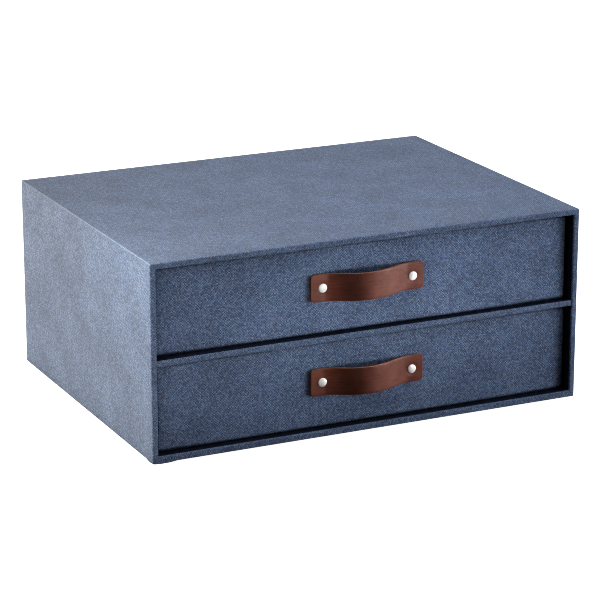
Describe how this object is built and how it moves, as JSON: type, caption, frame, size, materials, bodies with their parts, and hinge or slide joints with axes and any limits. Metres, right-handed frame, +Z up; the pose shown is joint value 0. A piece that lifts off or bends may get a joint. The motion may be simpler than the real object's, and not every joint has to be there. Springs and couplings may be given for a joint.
{
  "type": "file box with drawers",
  "caption": "Canvas-wrapped board document box with stacked full-width drawers, each pulled out by a riveted leather strap.",
  "frame": {"origin": "centre of the underside of the base sheet, which the box stands on, midway across the width and the depth of the wrapped case", "axes": "+X to the right and +Z up, seen from the front; the drawers open towards -Y"},
  "size_m": [0.33, 0.2564, 0.1414],
  "materials": {
    "canvas_cloth": "matte woven book cloth, blue with paler flecks",
    "grey_board": "matte",
    "lining_paper": "matte",
    "strap_leather": "satin",
    "rivet_metal": "polished"
  },
  "bodies": {
    "case": {"case_wrap_cloth": "canvas_cloth", "case_back_cloth": "canvas_cloth", "case_base_sheet": "lining_paper", "case_top_board": "grey_board", "case_bottom_board": "grey_board", "case_left_board": "grey_board", "case_right_board": "grey_board", "case_back_board": "grey_board", "divider_board": "grey_board", "divider_cloth": "canvas_cloth", "lower_bay_lining": "lining_paper", "upper_bay_lining": "lining_paper"},
    "upper_drawer": {"upper_wrap_cloth": "canvas_cloth", "upper_front_board": "grey_board", "upper_back_board": "grey_board", "upper_left_board": "grey_board", "upper_right_board": "grey_board", "upper_floor_board": "grey_board", "upper_lining": "lining_paper", "upper_underside_sheet": "lining_paper", "upper_handle_strap": "strap_leather", "upper_rivet_left": "rivet_metal", "upper_rivet_right": "rivet_metal", "upper_rivet_washer_left": "rivet_metal", "upper_rivet_washer_right": "rivet_metal"},
    "lower_drawer": {"lower_wrap_cloth": "canvas_cloth", "lower_front_board": "grey_board", "lower_back_board": "grey_board", "lower_left_board": "grey_board", "lower_right_board": "grey_board", "lower_floor_board": "grey_board", "lower_lining": "lining_paper", "lower_underside_sheet": "lining_paper", "lower_handle_strap": "strap_leather", "lower_rivet_left": "rivet_metal", "lower_rivet_right": "rivet_metal", "lower_rivet_washer_left": "rivet_metal", "lower_rivet_washer_right": "rivet_metal"}
  },
  "joints": [
    {"name": "upper_drawer_slide", "type": "slide", "parent": "case", "child": "upper_drawer", "axis": [0, -1, 0], "range_m": [0, 0.2]},
    {"name": "lower_drawer_slide", "type": "slide", "parent": "case", "child": "lower_drawer", "axis": [0, -1, 0], "range_m": [0, 0.2]}
  ]
}
